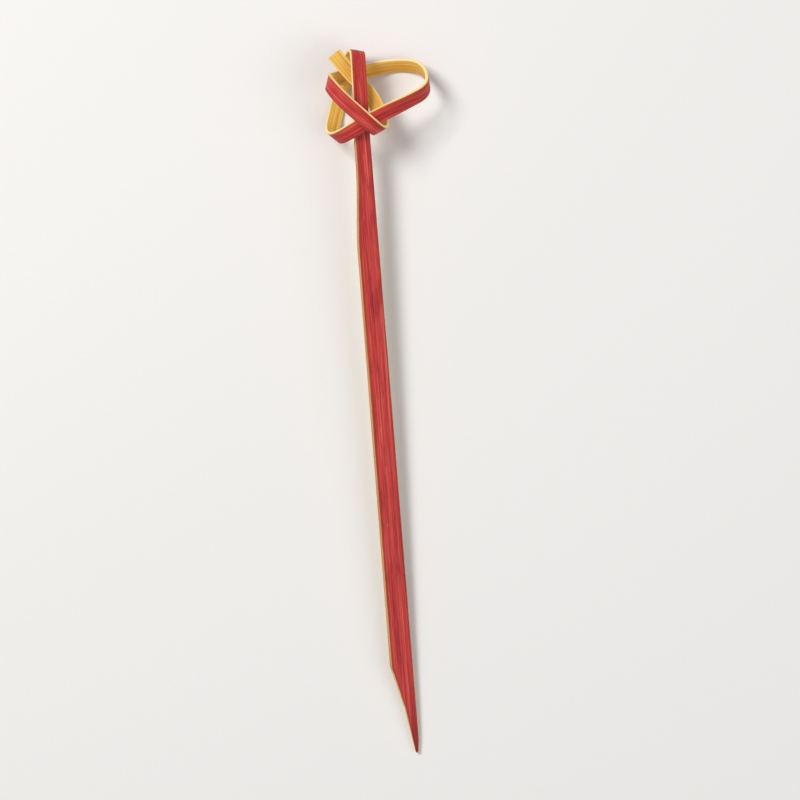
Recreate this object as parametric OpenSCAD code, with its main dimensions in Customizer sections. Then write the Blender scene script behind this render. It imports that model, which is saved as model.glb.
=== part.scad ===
// Knotted bamboo skewer: one flat split of bamboo with a dyed skin. The top of the split is
// pared to a thin strip, tied in a loose overhand knot and tucked behind itself, and the other
// end is whittled to a flat point. It lies as it comes to rest on a table, skin side up, on the
// back of the knot and the heel of the point. Millimetres, knot towards +Y.

/* [Length] */
// Length along the shaft, from the top of the knot to the point
total_length = 120; // [90:1:180]

/* [Shaft] */
// Width of the shaft at its upper end, below the narrow neck
upper_width = 3.5; // [2.6:0.1:5]
// Width of the shaft where the point begins
shaft_width = 3.7; // [2.8:0.1:6]
// Thickness of the shaft, from the skin to the back
shaft_thickness = 1.8; // [1.2:0.1:3]
// How far the shaft is turned about its length against the knot, in degrees
shaft_roll = 15; // [0:1:20]
// Easing cut along the long edges of the shaft
edge_ease = 0.2; // [0.05:0.05:0.4]
// Length over which the back is pared from the shaft down to the strip
pare_length = 3.6; // [2:0.2:5.6]
// Length of the neck, which is as narrow as the strip
neck_length = 6.8; // [6:0.2:20]
// Length over which the left edge is pared from the shaft's width down to the neck's
flare_length = 16; // [6:0.5:30]

/* [Point] */
// Length of the whittled point
point_length = 15; // [6:0.5:20]
// Width left at the end of the point
tip_width = 0.5; // [0.3:0.1:1.2]
// Thickness left at the end of the point
tip_thickness = 0.4; // [0.3:0.1:1]
// How far the end of the point lies in from the straight right edge
tip_inset = 0.2; // [0:0.1:1.2]

/* [Strip] */
// Width of the thin strip that is tied
strip_width = 2.6; // [2:0.1:4]
// Thickness of the thin strip
strip_thickness = 0.55; // [0.4:0.05:0.8]
// Easing cut along the edges of the strip
strip_ease = 0.08; // [0.02:0.01:0.12]

/* [Knot] */
// Reach of the big loop, from the shaft's centre line to the loop's turn
loop_reach = 11.8; // [9:0.1:16]
// Height of the top turn above the crossing
top_height = 10.7; // [9:0.1:14]
// Drop of the two lower turns below the crossing
lower_drop = 4.1; // [3.6:0.1:6]
// Free space between one layer of the knot and the next
layer_gap = 0.95; // [0.6:0.05:2]
// Length of the cut end, from the lower turn
tail_length = 15.3; // [13:0.1:24]
// Lean of the cut end to the left of the shaft's line, in degrees
tail_lean = 27; // [24:1:36]

/* [Hidden] */

skin_color = "#b9333b";

// The crossing of the front legs is the origin while the knot is laid out: X to the right,
// Y up the shaft, Z out of the skin side.
layer = strip_thickness + layer_gap;
skin_z = strip_thickness / 2;
back_z = skin_z - shaft_thickness;
neck_y = -0.3 * lower_drop;
lap = 0.4 * strip_width;
lap_step = 0.04 * strip_thickness;

// The strip turns over at five places: right or left, up or down, and how far its way in and
// its way out lie apart there. The turns stand at the corners of a five-pointed star.
turns = [
    [0, top_height, 0.24 * strip_width],
    [-0.42 * loop_reach, -0.88 * lower_drop, 0.52 * strip_width],
    [loop_reach, 0.48 * top_height, 0.36 * top_height],
    [-0.43 * loop_reach, 0.56 * top_height, 0.12 * strip_width],
    [0.27 * loop_reach, -0.74 * lower_drop, 0.3 * strip_width]
];

// Six legs join the turns, by turns in front of the shaft and behind it. Each has the layer it
// starts in, the layer it ends in and how far it bows out, as a share of the loop's reach.
legs = [
    [0, 0, 0],
    [-3.85, -4.25, 0.025],
    [1.6, 1.1, -0.025],
    [-4.2, -2.9, 0.09],
    [2.45, 3.1, 0.03],
    [-1.15, -1.15, 0.12]
];

// How much each leg arches away from the middle of the knot, as a share of a layer
arch_share = 0.27;
// Share of the way through a turn at which it is entered and left
turn_share = 0.28;
// Sections on each span of the curve, and how many of them the facing is averaged over
span_sections = 8;
facing_sections = 1.25 * span_sections;

// The shaft turns about the strip's own centre line
function turned(p) = [
    p[0] * cos(shaft_roll) + p[2] * sin(shaft_roll),
    p[1],
    p[2] * cos(shaft_roll) - p[0] * sin(shaft_roll)
];

tail_end = turns[4] + tail_length * [-sin(tail_lean), cos(tail_lean), 0];
stops = concat([[0, neck_y - lap, 0]], turns, [tail_end]);

function flat(p) = [p[0], p[1]];
function unit(v) = v / norm(v);
function leg_dir(k) = unit(flat(stops[k + 1]) - flat(stops[k]));
// Direction in which turn k is spread, from its way in to its way out
function turn_dir(k) = unit(leg_dir(k - 1) + leg_dir(k));
function way_in(k) = k == len(legs) ? flat(stops[k]) : flat(stops[k]) - turn_dir(k) * stops[k][2] / 2;
function way_out(k) = k == 0 ? flat(stops[k]) : flat(stops[k]) + turn_dir(k) * stops[k][2] / 2;
function lift(p, z) = [p[0], p[1], z * layer];
function side_of(k) = k == 0 ? 0 : k % 2 == 0 ? 1 : -1;

// The two points that carry the strip through the turn before leg k
function turn_points(k) =
    let (from = legs[k - 1][1], to = legs[k][0])
    [
        lift(way_in(k), from + (to - from) * turn_share),
        lift(way_out(k), to + (from - to) * turn_share)
    ];

// The points along leg k, bowed sideways and arched. A bow is largest a third of the way along,
// and this brings it to 1 there.
bow_scale = 27 / 4;
function leg_points(k) =
    let (
        a = way_out(k),
        b = way_in(k + 1),
        out = unit([(b - a)[1], -(b - a)[0]]) * legs[k][2] * loop_reach,
        shares = k == 0 ? [0, 0.2, 0.4, 0.55, 0.7, 0.85]
            : k == len(legs) - 1 ? [0.2, 0.4, 0.6, 0.8, 1]
            : [0.2, 0.4, 0.6, 0.8]
    )
    [
        for (f = shares)
            lift(
                a + (b - a) * f + out * bow_scale * f * pow(1 - f, 2),
                legs[k][0] + (legs[k][1] - legs[k][0]) * f + side_of(k) * arch_share * (4 * f * (1 - f) - 0.6)
            )
    ];

guide = [
    for (k = [0:len(legs) - 1])
        each concat(k == 0 ? [] : turn_points(k), leg_points(k))
];

// A smooth curve led by the guide points
ends = concat([2 * guide[0] - guide[1]], guide, [2 * guide[len(guide) - 1] - guide[len(guide) - 2]]);
function blend(i, t) = (
    pow(1 - t, 3) * ends[i]
    + (3 * pow(t, 3) - 6 * pow(t, 2) + 4) * ends[i + 1]
    + (-3 * pow(t, 3) + 3 * pow(t, 2) + 3 * t + 1) * ends[i + 2]
    + pow(t, 3) * ends[i + 3]
) / 6;
spans = len(ends) - 3;
path = concat(
    [for (i = [0:spans - 1], j = [0:span_sections - 1]) blend(i, j / span_sections)],
    [blend(spans - 1, 1)]
);
last = len(path) - 1;

// The skin faces away from the inside of each bend. It faces as the shaft's does where the strip
// leaves the shaft and backward at the cut end, where the strip is nearly straight.
straight_sections = span_sections * 4;
straight_bend = 0.09 * strip_thickness;
function bend_out(i) =
    i < straight_sections ? turned([0, 0, straight_bend])
    : i > last - straight_sections ? [0, 0, -straight_bend]
    : 2 * path[i] - path[i - 1] - path[i + 1];
bends = [for (i = [0:last]) bend_out(i)];
function add(v, i = 0) = i == len(v) ? [0, 0, 0] : v[i] + add(v, i + 1);
function along(i) = unit(path[min(i + 1, last)] - path[max(i - 1, 0)]);
function facing(i) =
    let (
        near = [max(0, i - 3 * facing_sections):min(last, i + 3 * facing_sections)],
        sum = add([for (j = near) bends[j] * exp(-0.5 * pow((j - i) / facing_sections, 2))]),
        t = along(i)
    )
    unit(sum - t * (sum * t));

// Section of the split, as [across, out of the skin]
function eased(w, t, e) = [
    [-w / 2 + e, -t / 2], [w / 2 - e, -t / 2], [w / 2, -t / 2 + e], [w / 2, t / 2 - e],
    [w / 2 - e, t / 2], [-w / 2 + e, t / 2], [-w / 2, t / 2 - e], [-w / 2, -t / 2 + e]
];
strip_section = eased(strip_width, strip_thickness, strip_ease);
corners = len(strip_section);
rings = [
    for (i = [0:last])
        let (n = facing(i), across = cross(along(i), n))
        [for (c = strip_section) path[i] + across * c[0] + n * c[1]]
];

// Places along the shaft, measured from the top of the knot
knot_top = max([for (r = rings, p = r) p[1]]);
tip_y = knot_top - total_length;
heel_y = tip_y + point_length;
full_y = neck_y - pare_length;
thin_y = neck_y - pare_length * 0.3;
// Where the cuts of the point change their slope
mid_y = tip_y + point_length * 0.5;
flat_y = tip_y + point_length * 0.3;
end_y = tip_y + point_length * 0.15;
flare_top = neck_y - neck_length;
flare_end = flare_top - flare_length;

// The right edge runs straight from the strip to the point. The left edge is pared in twice, in
// a soft flare at the neck and at the point. Each list gives places as [up the shaft, place].
flare_steps = 6;
function flare_y(k) = flare_end + flare_length * k / flare_steps;
function soft(f) = f * f * (3 - 2 * f);
right_x = strip_width / 2 + lap_step;
front_z = skin_z + lap_step;
right_edge = [
    [tip_y, right_x - tip_inset], [end_y, right_x], [neck_y, right_x]
];
left_edge = [
    [tip_y, right_x - tip_inset - tip_width],
    [mid_y, right_x - shaft_width * 0.5],
    [heel_y, right_x - shaft_width],
    for (k = [0:flare_steps])
        [flare_y(k), right_x - upper_width + (upper_width - 2 * right_x) * soft(k / flare_steps)],
    [neck_y, -right_x]
];
skin_face = [
    [tip_y, front_z - tip_thickness * 0.5], [flat_y, front_z], [neck_y, front_z]
];
back_face = [
    [tip_y, front_z - tip_thickness * 1.5],
    [mid_y, back_z + shaft_thickness * 0.42],
    [heel_y, back_z],
    [full_y, back_z],
    [thin_y, -front_z - shaft_thickness * 0.12],
    [neck_y, -front_z]
];
easing = [
    [tip_y, tip_width * 0.2], [heel_y, edge_ease], [full_y, edge_ease], [thin_y, strip_ease],
    [neck_y, strip_ease]
];
stations = [
    tip_y, end_y, flat_y, mid_y, heel_y, for (k = [0:flare_steps]) flare_y(k), full_y, thin_y, neck_y
];

// A closed solid through rings of corners
module through(rings) {
    count = len(rings);
    polyhedron(
        points = [for (r = rings) each r],
        faces = concat(
            [[for (c = [corners - 1:-1:0]) c]],
            [
                for (i = [0:count - 2], c = [0:corners - 1])
                    let (
                        a = i * corners + c,
                        b = i * corners + (c + 1) % corners
                    )
                    each [[a, b + corners, a + corners], [a, b, b + corners]]
            ],
            [[for (c = [0:corners - 1]) (count - 1) * corners + c]]
        )
    );
}

module strip() {
    through(rings);
}

// Section of the shaft at height y, turned with it
function shaft_ring(y) =
    let (
        left = lookup(y, left_edge),
        right = lookup(y, right_edge),
        front = lookup(y, skin_face),
        back = lookup(y, back_face)
    )
    [
        for (c = eased(right - left, front - back, lookup(y, easing)))
            turned([(left + right) / 2 + c[0], y, (front + back) / 2 + c[1]])
    ];

module shaft() {
    through([for (y = stations) shaft_ring(y)]);
}

// Rest on the table: one point under the heel, one under the back of the knot and one under
// the big loop. The first two come from the side view, and the third is what the skewer then
// rolls onto.
heel = turned([right_x - edge_ease, heel_y, back_z]);
tip_back = turned([right_x - tip_inset, tip_y, front_z - tip_thickness * 1.5]);
knot_points = [for (i = [straight_sections:last], p = rings[i]) p];
function slope(from, to) = (to[2] - from[2]) / (to[1] - from[1]);
function lowest(from) =
    let (slopes = [for (p = knot_points) slope(from, p)])
    knot_points[search(min(slopes), slopes)[0]];
heel_first = slope(tip_back, heel) < slope(heel, lowest(heel));
foot = heel_first ? heel : tip_back;
knot_foot = lowest(foot);
roll_axis = unit(knot_foot - foot);
roll_side = unit(cross(roll_axis, [0, 0, 1]));
roll_up = cross(roll_side, roll_axis);
loop_points = [for (p = knot_points) if ((p - foot) * roll_side > strip_width) p];
rolls = [for (p = loop_points) atan2((p - foot) * roll_up, (p - foot) * roll_side)];
loop_foot = loop_points[search(min(rolls), rolls)[0]];
rest_up = unit(cross(loop_foot - foot, knot_foot - foot));
rest_along = unit([0, 1, 0] - rest_up * rest_up[1]);
rest_right = cross(rest_along, rest_up);
function rested(p) = [p * rest_right, p * rest_along, p * rest_up];
shaft_points = [for (y = stations, p = shaft_ring(y)) p];
rest_points = [for (p = concat(knot_points, shaft_points)) rested(p)];
function low(i) = min([for (p = rest_points) p[i]]);
function high(i) = max([for (p = rest_points) p[i]]);

module skewer() {
    color(skin_color)
        translate([-(low(0) + high(0)) / 2, -(low(1) + high(1)) / 2, -low(2)])
            multmatrix([rest_right, rest_along, rest_up])
                union() {
                    shaft();
                    strip();
                }
}

skewer();
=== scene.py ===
# Looks of the knotted bamboo skewer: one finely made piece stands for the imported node.
# The strip follows the same turns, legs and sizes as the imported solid. Lengths are millimetres
# up to the mesh, which is in metres.

import math

import bpy
import numpy as np
from mathutils import Matrix, Vector, noise


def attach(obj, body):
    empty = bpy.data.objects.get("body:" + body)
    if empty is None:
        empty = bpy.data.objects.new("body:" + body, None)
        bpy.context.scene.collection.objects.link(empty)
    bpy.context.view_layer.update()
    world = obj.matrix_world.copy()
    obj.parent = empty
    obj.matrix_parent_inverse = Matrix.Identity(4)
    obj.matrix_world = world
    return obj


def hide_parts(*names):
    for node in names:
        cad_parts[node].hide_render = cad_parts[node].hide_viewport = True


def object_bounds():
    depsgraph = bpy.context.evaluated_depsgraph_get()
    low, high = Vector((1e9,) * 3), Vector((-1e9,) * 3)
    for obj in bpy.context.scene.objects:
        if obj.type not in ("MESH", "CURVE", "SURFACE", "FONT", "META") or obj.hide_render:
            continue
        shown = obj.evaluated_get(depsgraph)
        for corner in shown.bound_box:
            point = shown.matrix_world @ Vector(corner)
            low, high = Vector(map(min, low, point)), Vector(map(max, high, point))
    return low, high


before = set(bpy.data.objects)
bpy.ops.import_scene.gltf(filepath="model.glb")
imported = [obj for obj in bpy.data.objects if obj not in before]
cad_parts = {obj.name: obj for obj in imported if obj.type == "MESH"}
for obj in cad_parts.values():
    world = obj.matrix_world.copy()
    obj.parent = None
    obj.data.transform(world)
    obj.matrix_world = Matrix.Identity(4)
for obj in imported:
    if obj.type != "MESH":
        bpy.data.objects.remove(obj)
cad_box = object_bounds()

# Units: millimetres in a metre, and a millimetre in metres
METRE = 1000
MM = 0.001

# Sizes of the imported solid
TOTAL_LENGTH = 120.0
UPPER_WIDTH = 3.5
SHAFT_WIDTH = 3.7
SHAFT_THICKNESS = 1.8
SHAFT_ROLL = math.radians(15)
EDGE_EASE = 0.2
PARE_LENGTH = 3.6
NECK_LENGTH = 6.8
FLARE_LENGTH = 16.0
POINT_LENGTH = 15.0
TIP_WIDTH = 0.5
TIP_THICKNESS = 0.4
TIP_INSET = 0.2
STRIP_WIDTH = 2.6
STRIP_THICKNESS = 0.55
STRIP_EASE = 0.08
LOOP_REACH = 11.8
TOP_HEIGHT = 10.7
LOWER_DROP = 4.1
LAYER_GAP = 0.95
TAIL_LENGTH = 15.3
TAIL_LEAN = math.radians(27)

LAYER = STRIP_THICKNESS + LAYER_GAP
SKIN_Z = STRIP_THICKNESS / 2
BACK_Z = SKIN_Z - SHAFT_THICKNESS
RIGHT_X = STRIP_WIDTH / 2
NECK_Y = -0.3 * LOWER_DROP
LAP = 0.4 * STRIP_WIDTH

# How the legs arch away from the knot's middle, how the turns share out the layers beside them, and
# what brings a leg's bow to its full reach
ARCH_SHARE = 0.27
ARCH_BASE = 0.6
TURN_SHARE = 0.28
BOW_SCALE = 27 / 4
# Sections between guide points, how far along the skin's facing is evened out, and the straight
# stretches at both ends, which hold their own facing
SPAN_SECTIONS = 8
FACING_SECTIONS = 10
STRAIGHT_SECTIONS = 4 * SPAN_SECTIONS
STRAIGHT_BEND = 0.09 * STRIP_THICKNESS

# Shares of the shaft's thickness that are cut away halfway down the point and left in the pare
MID_CUT = 0.42
THIN_REST = 0.12
# Shares of the tip's thickness at which its skin and its back lie below the shaft's skin, and the
# share of its width that rounds its edges
TIP_SKIN = 0.5
TIP_BACK = 1.5
TIP_EASE = 0.2

# Where the strip turns over: x, y and how far its way in and its way out lie apart
TURNS = np.array([
    [0, TOP_HEIGHT, 0.24 * STRIP_WIDTH],
    [-0.42 * LOOP_REACH, -0.88 * LOWER_DROP, 0.52 * STRIP_WIDTH],
    [LOOP_REACH, 0.48 * TOP_HEIGHT, 0.36 * TOP_HEIGHT],
    [-0.43 * LOOP_REACH, 0.56 * TOP_HEIGHT, 0.12 * STRIP_WIDTH],
    [0.27 * LOOP_REACH, -0.74 * LOWER_DROP, 0.3 * STRIP_WIDTH],
])
# The legs between the turns: first layer, last layer and bow as a share of the loop's reach
LEGS = np.array([
    [0, 0, 0],
    [-3.85, -4.25, 0.025],
    [1.6, 1.1, -0.025],
    [-4.2, -2.9, 0.09],
    [2.45, 3.1, 0.03],
    [-1.15, -1.15, 0.12],
])

# Fineness of the mesh
KNOT_FINENESS = 3
FACE_STEPS = 12
SIDE_STEPS = 6
CORNER_STEPS = 3
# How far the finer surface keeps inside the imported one, and how uneven the bamboo is
HAIR = 0.015
KNIFE_WANDER = 0.03
CUT_RAGGED = 0.09
CUT_DEPTH = 0.4
# Length of the point's outermost stretch, which is rounded off, and the share of its section that
# is left at the very end
TIP_ROUND = 0.25
TIP_BLUNT = 0.35
# Largest edge radius, as a share of a section's width or thickness
EASE_LIMIT = 0.3
# How far the skin sinks towards its edges, as it comes from a round culm
SHAFT_CROWN = 0.05
STRIP_CROWN = 0.03


def unit(v):
    return v / np.linalg.norm(v)


def knot_guide():
    """Points that lead the strip through its turns and legs."""
    tail = TURNS[4] + TAIL_LENGTH * np.array([-math.sin(TAIL_LEAN), math.cos(TAIL_LEAN), 0])
    stops = np.vstack([[0, NECK_Y - LAP, 0], TURNS, tail])
    flat = stops[:, :2]
    count = len(LEGS)
    leg_dirs = [unit(flat[k + 1] - flat[k]) for k in range(count)]

    def spread(k):
        if k in (0, count):
            return np.zeros(2)
        return unit(leg_dirs[k - 1] + leg_dirs[k]) * stops[k][2] / 2

    points = []
    for k in range(count):
        start, end, bow = LEGS[k]
        if k > 0:
            before = LEGS[k - 1][1]
            way_in = (before + (start - before) * TURN_SHARE) * LAYER
            way_out = (start + (before - start) * TURN_SHARE) * LAYER
            points.append([*(flat[k] - spread(k)), way_in])
            points.append([*(flat[k] + spread(k)), way_out])
        a = flat[k] + spread(k)
        b = flat[k + 1] - spread(k + 1)
        out = unit(np.array([(b - a)[1], -(b - a)[0]])) * bow * LOOP_REACH
        side = 0 if k == 0 else (1 if k % 2 == 0 else -1)
        if k == 0:
            shares = [0, 0.2, 0.4, 0.55, 0.7, 0.85]
        elif k == count - 1:
            shares = [0.2, 0.4, 0.6, 0.8, 1]
        else:
            shares = [0.2, 0.4, 0.6, 0.8]
        for f in shares:
            p = a + (b - a) * f + out * BOW_SCALE * f * (1 - f) ** 2
            z = start + (end - start) * f + side * ARCH_SHARE * (4 * f * (1 - f) - ARCH_BASE)
            points.append([*p, z * LAYER])
    return np.array(points)


def spline(guide, per_span):
    """Uniform cubic B-spline led by the guide points."""
    ends = np.vstack([2 * guide[0] - guide[1], guide, 2 * guide[-1] - guide[-2]])
    out = []
    spans = len(ends) - 3
    for i in range(spans):
        for j in range(per_span + (i == spans - 1)):
            t = j / per_span
            out.append((
                (1 - t) ** 3 * ends[i]
                + (3 * t ** 3 - 6 * t ** 2 + 4) * ends[i + 1]
                + (-3 * t ** 3 + 3 * t ** 2 + 3 * t + 1) * ends[i + 2]
                + t ** 3 * ends[i + 3]
            ) / 6)
    return np.array(out)


def tangents(path):
    step = np.empty_like(path)
    step[1:-1] = path[2:] - path[:-2]
    step[0] = path[1] - path[0]
    step[-1] = path[-1] - path[-2]
    return step / np.linalg.norm(step, axis=1)[:, None]


# The shaft is turned about the strip's centre line: its way across and its way out of the skin
SHAFT_ACROSS = np.array([math.cos(SHAFT_ROLL), 0, -math.sin(SHAFT_ROLL)])
SHAFT_OUT = np.array([math.sin(SHAFT_ROLL), 0, math.cos(SHAFT_ROLL)])


def facings(path, fineness):
    """Way the skin faces along the strip: away from the inside of each bend."""
    last = len(path) - 1
    straight = STRAIGHT_SECTIONS * fineness
    bends = np.zeros_like(path)
    bends[1:-1] = (2 * path[1:-1] - path[:-2] - path[2:]) * fineness ** 2
    bends[:straight] = SHAFT_OUT * STRAIGHT_BEND
    bends[last - straight + 1:] = [0, 0, -STRAIGHT_BEND]
    reach = FACING_SECTIONS * fineness
    share = np.exp(-0.5 * (np.arange(-3 * reach, 3 * reach + 1) / reach) ** 2)
    total = np.stack([np.convolve(bends[:, axis], share, "same") for axis in range(3)], axis=1)
    along = tangents(path)
    total -= along * (total * along).sum(axis=1)[:, None]
    return total / np.linalg.norm(total, axis=1)[:, None]


def strip_rings():
    """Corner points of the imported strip, one row for each of its sections."""
    path = spline(knot_guide(), SPAN_SECTIONS)
    out = facings(path, 1)
    across = np.cross(tangents(path), out)
    w, t, e = STRIP_WIDTH / 2, STRIP_THICKNESS / 2, STRIP_EASE
    section = [(-w + e, -t), (w - e, -t), (w, -t + e), (w, t - e)]
    section += [(-x, -z) for x, z in section]
    return np.stack([path + across * x + out * z for x, z in section], axis=1)


rings = strip_rings()
TIP_Y = rings[:, :, 1].max() - TOTAL_LENGTH
HEEL_Y = TIP_Y + POINT_LENGTH
MID_Y = TIP_Y + POINT_LENGTH * 0.5
FLAT_Y = TIP_Y + POINT_LENGTH * 0.3
END_Y = TIP_Y + POINT_LENGTH * 0.15
FULL_Y = NECK_Y - PARE_LENGTH
THIN_Y = NECK_Y - PARE_LENGTH * 0.3
FLARE_TOP = NECK_Y - NECK_LENGTH
FLARE_END = FLARE_TOP - FLARE_LENGTH
knot_points = rings[STRAIGHT_SECTIONS:].reshape(-1, 3)


def rest_axes():
    """Axes of the skewer as it lies on the table, from its three resting points."""
    foot = SHAFT_ACROSS * (RIGHT_X - EDGE_EASE) + SHAFT_OUT * BACK_Z + [0, HEEL_Y, 0]
    slopes = (knot_points[:, 2] - foot[2]) / (knot_points[:, 1] - foot[1])
    knot_foot = knot_points[slopes.argmin()]
    axis = unit(knot_foot - foot)
    side = unit(np.cross(axis, [0, 0, 1]))
    up = np.cross(side, axis)
    off = knot_points - foot
    loop = off @ side > STRIP_WIDTH
    loop_foot = knot_points[loop][np.arctan2(off[loop] @ up, off[loop] @ side).argmin()]
    rest_up = unit(np.cross(loop_foot - foot, knot_foot - foot))
    along = unit(np.array([0, 1, 0]) - rest_up * rest_up[1])
    return np.array([np.cross(along, rest_up), along, rest_up])


AXES = rest_axes()


def rest_shift():
    """Brings the knot's low left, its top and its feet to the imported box."""
    low, high = (np.array(corner) * METRE for corner in cad_box)
    rested = knot_points @ AXES.T
    left, top, foot = rested[:, 0].min(), rested[:, 1].max(), rested[:, 2].min()
    return np.array([low[0] - left, high[1] - top, low[2] - foot])


SHIFT = rest_shift()


def at(y, *places):
    """Value at y on straight lines through the places, which are (y, value) from the point up."""
    return float(np.interp(y, [p[0] for p in places], [p[1] for p in places]))


def shaft_section(y):
    """Left edge, right edge, skin, back and edge radius of the shaft at height y."""
    right = at(y, (TIP_Y, RIGHT_X - TIP_INSET), (END_Y, RIGHT_X))
    flare = min(max((y - FLARE_END) / FLARE_LENGTH, 0), 1)
    left = at(y, (TIP_Y, RIGHT_X - TIP_INSET - TIP_WIDTH), (MID_Y, RIGHT_X - SHAFT_WIDTH * 0.5),
              (HEEL_Y, RIGHT_X - SHAFT_WIDTH), (FLARE_END, RIGHT_X - UPPER_WIDTH))
    left += (UPPER_WIDTH - 2 * RIGHT_X) * flare * flare * (3 - 2 * flare)
    skin = at(y, (TIP_Y, SKIN_Z - TIP_THICKNESS * TIP_SKIN), (FLAT_Y, SKIN_Z))
    back = at(y, (TIP_Y, SKIN_Z - TIP_THICKNESS * TIP_BACK),
              (MID_Y, BACK_Z + SHAFT_THICKNESS * MID_CUT), (HEEL_Y, BACK_Z), (FULL_Y, BACK_Z),
              (THIN_Y, -SKIN_Z - SHAFT_THICKNESS * THIN_REST), (NECK_Y, -SKIN_Z))
    radius = at(y, (TIP_Y, TIP_WIDTH * TIP_EASE), (HEEL_Y, EDGE_EASE), (FULL_Y, EDGE_EASE),
                (THIN_Y, STRIP_EASE))
    return left + HAIR, right - HAIR, skin - HAIR, back + HAIR, radius


def profile(left, right, skin, back, radius, crown):
    """Closed section with rounded edges, from the skin's left edge round to the right."""
    radius = min(radius, (right - left) * EASE_LIMIT, (skin - back) * EASE_LIMIT)
    mid, half = (left + right) / 2, (right - left) / 2
    out = []

    def arc(cx, cz, start):
        for i in range(1, CORNER_STEPS):
            turn = math.radians(start - 90 * i / CORNER_STEPS)
            out.append((cx + radius * math.cos(turn), cz + radius * math.sin(turn)))

    for i in range(FACE_STEPS + 1):
        x = left + radius + (right - left - 2 * radius) * i / FACE_STEPS
        out.append((x, skin - crown * ((x - mid) / half) ** 2))
    arc(right - radius, skin - radius, 90)
    for i in range(SIDE_STEPS + 1):
        out.append((right, skin - radius - (skin - back - 2 * radius) * i / SIDE_STEPS))
    arc(right - radius, back + radius, 0)
    for i in range(FACE_STEPS + 1):
        out.append((right - radius - (right - left - 2 * radius) * i / FACE_STEPS, back))
    arc(left + radius, back + radius, -90)
    for i in range(SIDE_STEPS + 1):
        out.append((left, back + radius + (skin - back - 2 * radius) * i / SIDE_STEPS))
    arc(left + radius, skin - radius, 180)
    return np.array(out)


SKIN, EDGE, BARE = range(3)
SIDE_FACES = SIDE_STEPS + 2 * CORNER_STEPS
ZONES = [SKIN] * FACE_STEPS + [EDGE] * SIDE_FACES + [BARE] * FACE_STEPS + [EDGE] * SIDE_FACES
RING = len(ZONES)

# Stretches of the shaft from the point up: where each ends and its sections, both ends counted
STRETCHES = [
    (TIP_Y + TIP_ROUND, 6),
    (HEEL_Y, 60),
    (FLARE_END, 110),
    (FULL_Y, 50),
    (NECK_Y, 25),
]


def centre_line():
    """Path and way out of the skin, from the point to the cut end, and the shaft's section count."""
    knot = spline(knot_guide(), SPAN_SECTIONS * KNOT_FINENESS)
    knot_out = facings(knot, KNOT_FINENESS)
    start = int(np.searchsorted(knot[:STRAIGHT_SECTIONS * KNOT_FINENESS, 1], NECK_Y))
    starts = [TIP_Y] + [end for end, count in STRETCHES]
    heights = np.concatenate([
        np.linspace(low, high, count)[:-1] for low, (high, count) in zip(starts, STRETCHES)
    ])
    shaft = np.column_stack([0 * heights, heights, 0 * heights])
    path = np.vstack([shaft, knot[start:]])
    out = np.vstack([np.tile(SHAFT_OUT, (len(shaft), 1)), knot_out[start:]])
    return path, out, len(shaft)


def knife_wander(x, z, length):
    """How far the splitting knife strays inward at a point, in millimetres."""
    slow_along, fine_along, fine_across, fine_share = 0.12, 0.9, 2.5, 0.35
    row, right_row = 0.3, 1.7
    slow = noise.noise(Vector((right_row * (x > 0), row, slow_along * length)))
    fine = noise.noise(Vector((fine_across * x, fine_across * z, fine_along * length)))
    return KNIFE_WANDER * (abs(slow) + fine_share * abs(fine))


def cut_wander(x, z):
    """How far the cut end falls short of square at a point, as a share from 0 to -2."""
    across, through, row = 4, 7, 5.5
    return noise.noise(Vector((across * x, through * z, row))) - 1


def cap_faces(base):
    """Faces that close the section whose first corner is base."""
    top = [base + i for i in range(FACE_STEPS + 1)]
    first = FACE_STEPS + 2 * CORNER_STEPS + SIDE_STEPS
    bottom = [base + first + FACE_STEPS - i for i in range(FACE_STEPS + 1)]
    faces = [(top[i], bottom[i], bottom[i + 1], top[i + 1]) for i in range(FACE_STEPS)]
    faces.append([top[-1]] + [base + i for i in range(first, FACE_STEPS, -1)])
    faces.append([top[0]] + [base + i for i in range(RING - 1, first + FACE_STEPS - 1, -1)])
    return faces


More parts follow.
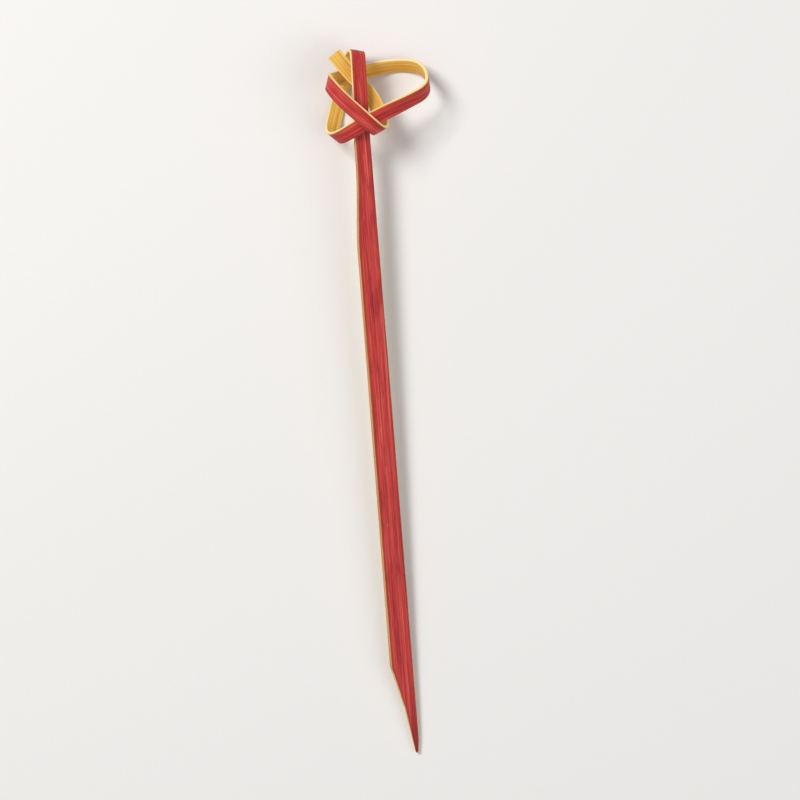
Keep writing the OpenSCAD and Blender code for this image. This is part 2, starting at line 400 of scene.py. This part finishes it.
def build_skewer():
    """The whole skewer as one closed mesh that keeps its places in the bamboo for its colours."""
    path, out, shaft_count = centre_line()
    along = tangents(path)
    along[:shaft_count] = [0, 1, 0]
    across = np.cross(along, out)
    length = np.concatenate([[0], np.cumsum(np.linalg.norm(np.diff(path, axis=0), axis=1))])
    strip = (HAIR - RIGHT_X, RIGHT_X - HAIR, SKIN_Z - HAIR, HAIR - SKIN_Z, STRIP_EASE)

    corners, grain, place = [], [], []
    for i, p in enumerate(path):
        sizes = shaft_section(p[1]) if i < shaft_count else strip
        left, right, skin, back, radius = sizes
        crown = SHAFT_CROWN if i < shaft_count else STRIP_CROWN
        section = profile(*sizes, crown)
        middle = np.array([(left + right) / 2, (skin + back) / 2])
        end_round = min(1.0, TIP_BLUNT + length[i] / TIP_ROUND * (1 - TIP_BLUNT))
        cut = max(0.0, 1 - (length[-1] - length[i]) / CUT_DEPTH)
        for x, z in section:
            share = (x - middle[0]) / (right - left) * 2
            depth = (skin - z) / (skin - back)
            grain.append((x, z, length[i]))
            place.append((share, depth, length[i]))
            narrower = 1 - knife_wander(x, z, length[i]) / (right - left) * 2 * abs(share)
            x = middle[0] + (x - middle[0]) * end_round * narrower
            z = middle[1] + (z - middle[1]) * end_round
            ragged = cut * CUT_RAGGED * cut_wander(x, z)
            corners.append(p + across[i] * x + out[i] * z + along[i] * ragged)
    corners = (np.array(corners) @ AXES.T + SHIFT) * MM

    faces, slots = [], []
    for i in range(len(path) - 1):
        for c in range(RING):
            d = (c + 1) % RING
            faces.append((i * RING + c, i * RING + d, (i + 1) * RING + d, (i + 1) * RING + c))
            slots.append(ZONES[c])
    side_faces = len(faces)
    faces += cap_faces(0)
    faces += [face[::-1] for face in cap_faces((len(path) - 1) * RING)]
    slots += [EDGE] * (len(faces) - side_faces)

    mesh = bpy.data.meshes.new("skewer_bamboo")
    mesh.from_pydata(corners.tolist(), [], faces)
    for name, values in (("grain", grain), ("place", place)):
        layer = mesh.attributes.new(name, "FLOAT_VECTOR", "POINT")
        layer.data.foreach_set("vector", np.array(values, dtype=np.float32).ravel())
    mesh.polygons.foreach_set("material_index", slots)
    mesh.polygons.foreach_set("use_smooth", [i < side_faces for i in range(len(faces))])
    mesh.validate()
    obj = bpy.data.objects.new("skewer_bamboo", mesh)
    bpy.context.scene.collection.objects.link(obj)
    return obj


# Places along the bamboo, in millimetres from the point: where its dye starts to darken towards
# the point, and where the thin strip's colours start and over what length they come in
TIP_DARK = 10.0
STRIP_START = NECK_Y - TIP_Y - PARE_LENGTH
STRIP_BLEND = 5
# Share of the right side that the dye has run over, and how much the strip keeps of the warm line
# that the shaft's sides have just below the skin
DYED_SIDE = 0.34
STRIP_WARMTH = 0.1


class Nodes:
    """Short way to wire up a material."""

    def __init__(self, name):
        self.material = bpy.data.materials.new(name)
        self.material.use_nodes = True
        self.tree = self.material.node_tree
        self.shader = self.tree.nodes["Principled BSDF"]

    def add(self, kind, inputs=None, **settings):
        node = self.tree.nodes.new(kind)
        for key, value in settings.items():
            setattr(node, key, value)
        for key, value in (inputs or {}).items():
            if isinstance(value, bpy.types.NodeSocket):
                self.tree.links.new(value, node.inputs[key])
            else:
                node.inputs[key].default_value = value
        return node

    def grain(self, across, along):
        """Place inside the bamboo, scaled across and along the fibres."""
        place = self.add("ShaderNodeAttribute", attribute_name="grain").outputs["Vector"]
        inputs = {0: place, 1: (across, across, along)}
        return self.add("ShaderNodeVectorMath", inputs, operation="MULTIPLY").outputs["Vector"]

    def place(self, axis):
        """Share across (X, -1 to 1), share through (Y, 0 at the skin) or millimetres along (Z)."""
        place = self.add("ShaderNodeAttribute", attribute_name="place").outputs["Vector"]
        return self.add("ShaderNodeSeparateXYZ", {0: place}).outputs[axis]

    def noise(self, vector, detail=3.0, rough=0.5):
        inputs = {"Vector": vector, "Scale": 1.0, "Detail": detail, "Roughness": rough}
        return self.add("ShaderNodeTexNoise", inputs).outputs["Fac"]

    def bundles(self, across, along):
        """Distance to the nearest fibre bundle: dots on a cut end and lines along the faces."""
        inputs = {"Vector": self.grain(across, along), "Scale": 1.0, "Randomness": 1.0}
        return self.add("ShaderNodeTexVoronoi", inputs, feature="F1").outputs["Distance"]

    def span(self, value, low, high, start=0.0, end=1.0):
        """Smooth share of value between low and high, brought to start and end."""
        inputs = {"Value": value, "From Min": low, "From Max": high}
        inputs.update({"To Min": start, "To Max": end})
        node = self.add("ShaderNodeMapRange", inputs, interpolation_type="SMOOTHSTEP")
        return node.outputs["Result"]

    def ramp(self, value, *stops):
        node = self.add("ShaderNodeValToRGB", {"Fac": value})
        elements = node.color_ramp.elements
        while len(elements) < len(stops):
            elements.new(0.5)
        for element, (place, color) in zip(elements, stops):
            element.position = place
            element.color = (*srgb(color), 1)
        return node.outputs["Color"]

    def mix(self, share, a, b):
        node = self.add("ShaderNodeMix", data_type="RGBA")
        for key, value in ((0, share), (6, a), (7, b)):
            if isinstance(value, str):
                value = (*srgb(value), 1)
            if isinstance(value, bpy.types.NodeSocket):
                self.tree.links.new(value, node.inputs[key])
            else:
                node.inputs[key].default_value = value
        return node.outputs[2]

    def math(self, kind, a, b=0.0, c=0.0):
        return self.add("ShaderNodeMath", {0: a, 1: b, 2: c}, operation=kind).outputs[0]

    def finish(self, color, roughness, height, depth, specular):
        inputs = {"Height": height, "Strength": 1.0, "Distance": depth * MM}
        bump = self.add("ShaderNodeBump", inputs).outputs["Normal"]
        for value, key in ((color, "Base Color"), (roughness, "Roughness"), (bump, "Normal")):
            self.tree.links.new(value, self.shader.inputs[key])
        self.shader.inputs["Specular IOR Level"].default_value = specular
        return self.material

    def bare_finish(self, color, tone, fine):
        """Matt wood with fine raised fibres."""
        rough = self.math("MULTIPLY_ADD", fine, 0.2, 0.48)
        height = self.math("MULTIPLY_ADD", fine, 0.7, tone)
        return self.finish(color, rough, height, 0.03, 0.35)


def srgb(text):
    """Linear red, green and blue of a colour that is written as six hex digits."""
    values = [int(text[i:i + 2], 16) / 255 for i in (0, 2, 4)]
    return tuple(v / 12.92 if v <= 0.04045 else ((v + 0.055) / 1.055) ** 2.4 for v in values)


def dyed_skin():
    """Satin skin with streaks of dye, darkened along both edges by painted shade where the skin
    rounds off.

    The strip's left rim is worn down to the wood.
    """
    n = Nodes("dyed_skin")
    broad = n.noise(n.grain(1.1, 0.035), 3)
    streaks = n.noise(n.grain(5.0, 0.07), 3, 0.6)
    fibres = n.noise(n.grain(22.0, 0.35), 2)
    tone = n.math("MULTIPLY_ADD", streaks, 0.6, n.math("MULTIPLY", broad, 0.4))
    color = n.ramp(tone, (0.36, "92181f"), (0.46, "b93130"), (0.55, "d04740"), (0.65, "e47262"))
    color = n.mix(n.span(fibres, 0.5, 0.75, 0, 0.3), color, "e87a64")
    color = n.mix(n.span(fibres, 0.42, 0.25, 0, 0.45), color, "80141c")
    patches = n.span(n.noise(n.grain(0.55, 0.11), 3, 0.6), 0.5, 0.68, 0, 0.5)
    color = n.mix(patches, color, "8e141e")
    # Painted shade: the skin is darkened towards both edges, where it rounds off away from the
    # light, and the noise makes this uneven.
    rim = n.span(n.math("ABSOLUTE", n.place("X")), 0.76, 0.98)
    uneven = n.span(n.noise(n.grain(0.6, 0.12), 2), 0.35, 0.6, 0.45, 1.0)
    color = n.mix(n.math("MULTIPLY", rim, uneven), color, "650914")
    color = n.mix(n.span(n.place("Z"), TIP_DARK, 0, 0, 0.8), color, "7c161a")
    on_strip = n.span(n.place("Z"), STRIP_START, STRIP_START + STRIP_BLEND)
    unsteady = n.math("MULTIPLY", n.noise(n.grain(0.4, 0.7), 2), 0.08)
    rim_place = n.math("ADD", n.place("X"), unsteady)
    worn = n.math("MULTIPLY", on_strip, n.span(rim_place, -0.78, -0.84, 0, 0.9))
    color = n.mix(worn, color, "efb868")
    scuff = n.span(n.noise(n.grain(3.0, 0.5), 4, 0.7), 0.66, 0.74, 0, 0.55)
    color = n.mix(scuff, color, "d9826a")
    rough = n.math("MULTIPLY_ADD", streaks, 0.25, 0.34)
    height = n.math("MULTIPLY_ADD", fibres, 0.6, streaks)
    return n.finish(color, rough, height, 0.014, 0.22)


def bare_bamboo():
    """Inner face: straw on the shaft and golden in the thin strip, lined with fibre bundles."""
    n = Nodes("bare_bamboo")
    tone = n.noise(n.grain(2.6, 0.05), 3)
    fine = n.noise(n.grain(26.0, 0.4), 2)
    gold = n.ramp(tone, (0.32, "d89b36"), (0.5, "edba4e"), (0.68, "f9d874"))
    pale = n.ramp(tone, (0.32, "dcb578"), (0.5, "ebcf98"), (0.68, "f4e0b6"))
    color = n.mix(n.span(n.place("Z"), STRIP_START - 4, STRIP_START + 8), pale, gold)
    color = n.mix(n.span(n.bundles(4.2, 0.03), 0.3, 0.08, 0, 0.6), color, "9c651f")
    color = n.mix(n.span(fine, 0.5, 0.8, 0, 0.4), color, "fbe6b4")
    return n.bare_finish(color, tone, fine)


def cut_edge():
    """Cut sides: tan on the shaft, fresh at the point and pale yellow on the thin strip.

    The dye has run over part of the right side, and on the shaft a little over the left one.
    """
    n = Nodes("cut_edge")
    tone = n.noise(n.grain(3.0, 0.06), 3)
    fine = n.noise(n.grain(26.0, 0.4), 2)
    yellow = n.ramp(tone, (0.32, "f8d078"), (0.5, "ffe397"), (0.68, "fff0bc"))
    tan = n.ramp(tone, (0.32, "b9712f"), (0.5, "cf8f48"), (0.68, "e0ab66"))
    fresh = n.ramp(tone, (0.32, "dc9a44"), (0.5, "ecb660"), (0.68, "f6cc84"))
    color = n.mix(n.span(n.place("Z"), POINT_LENGTH, POINT_LENGTH * 0.9), tan, fresh)
    strip_end = STRIP_START + STRIP_BLEND
    color = n.mix(n.span(n.place("Z"), STRIP_START, strip_end), color, yellow)
    on_shaft = n.span(n.place("Z"), strip_end, STRIP_START, STRIP_WARMTH, 1)
    warm = n.math("MULTIPLY", on_shaft, n.span(n.place("Y"), 0.12, 0.34, 0.65, 0))
    color = n.mix(warm, color, "cc7a34")
    color = n.mix(n.span(n.place("Y"), 0.8, 0.96, 0, 0.65), color, "f8e2b4")
    color = n.mix(n.span(n.bundles(4.2, 0.03), 0.28, 0.08, 0, 0.6), color, "8f5a1c")
    color = n.mix(n.span(fine, 0.5, 0.8, 0, 0.35), color, "fff0c4")
    ragged = n.math("MULTIPLY_ADD", n.noise(n.grain(0.5, 0.8), 3, 0.6), 0.2, 0.02)
    ragged = n.math("MULTIPLY", ragged, n.math("MAXIMUM", on_shaft, n.span(n.place("X"), 0, 0.5)))
    border = n.math("ADD", ragged, n.span(n.place("X"), 0.5, 0.95, 0, DYED_SIDE))
    stain = n.span(n.math("SUBTRACT", border, n.place("Y")), 0, 0.04, 0, 0.85)
    color = n.mix(stain, color, n.ramp(tone, (0.35, "7e1018"), (0.65, "a82a26")))
    return n.bare_finish(color, tone, fine)


skewer = build_skewer()
for material in (dyed_skin(), cut_edge(), bare_bamboo()):
    skewer.data.materials.append(material)
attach(skewer, "root")
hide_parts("skewer")


def pale_floor():
    """Matt floor, on which the skewer lies."""
    mesh = bpy.data.meshes.new("floor")
    half = 1.5
    corners = [(-half, -half, 0), (half, -half, 0), (half, half, 0), (-half, half, 0)]
    mesh.from_pydata(corners, [], [(0, 1, 2, 3)])
    obj = bpy.data.objects.new("floor", mesh)
    bpy.context.scene.collection.objects.link(obj)
    n = Nodes("pale_floor")
    n.shader.inputs["Base Color"].default_value = (0.86, 0.85, 0.84, 1)
    n.shader.inputs["Roughness"].default_value = 0.7
    n.shader.inputs["Specular IOR Level"].default_value = 0.2
    mesh.materials.append(n.material)


def area_light(name, place, size, power, color):
    """Square lamp that shines at the middle of the floor."""
    data = bpy.data.lights.new(name, "AREA")
    data.shape = "SQUARE"
    data.size = size
    data.energy = power
    data.color = color
    obj = bpy.data.objects.new(name, data)
    obj.location = place
    obj.rotation_euler = (-Vector(place)).to_track_quat("-Z", "Y").to_euler()
    bpy.context.scene.collection.objects.link(obj)


# The camera's distance in metres, its sensor and lens in millimetres, how far the skewer leans in
# the picture, and the place in the knot that it stands over
CAMERA_DISTANCE = 0.9
SENSOR_WIDTH = 36
LENS = 240
PHOTO_LEAN = math.radians(4.6)
KNOT_MIDDLE = [0.15 * LOOP_REACH, 0.4 * TOP_HEIGHT, 0]


def photo_camera():
    """Stands over the knot, as in the photograph, and has the whole skewer in view."""
    eye = (AXES @ KNOT_MIDDLE + SHIFT) * MM + AXES[:, 2] * CAMERA_DISTANCE
    middle = (np.array(cad_box[0]) + np.array(cad_box[1])) / 2
    back = unit(eye - middle)
    right = unit(np.cross(AXES @ [math.sin(PHOTO_LEAN), math.cos(PHOTO_LEAN), 0], back))
    data = bpy.data.cameras.new("camera")
    data.sensor_width = SENSOR_WIDTH
    data.lens = LENS
    obj = bpy.data.objects.new("camera", data)
    turn = Matrix([Vector(right), Vector(np.cross(back, right)), Vector(back)]).transposed()
    obj.matrix_world = Matrix.Translation(Vector(eye)) @ turn.to_4x4()
    bpy.context.scene.collection.objects.link(obj)
    bpy.context.scene.camera = obj


pale_floor()
area_light("key", (-0.35, 0.35, 0.6), 0.3, 4.3, (1.0, 0.98, 0.95))
area_light("fill", (0.5, -0.2, 0.5), 0.5, 1.5, (0.95, 0.97, 1.0))
photo_camera()

WORLD_STRENGTH = 0.32
world = bpy.data.worlds.new("studio")
world.use_nodes = True
background = world.node_tree.nodes["Background"]
background.inputs["Color"].default_value = (1, 1, 1, 1)
background.inputs["Strength"].default_value = WORLD_STRENGTH
scene = bpy.context.scene
scene.world = world
scene.view_settings.view_transform = "Standard"
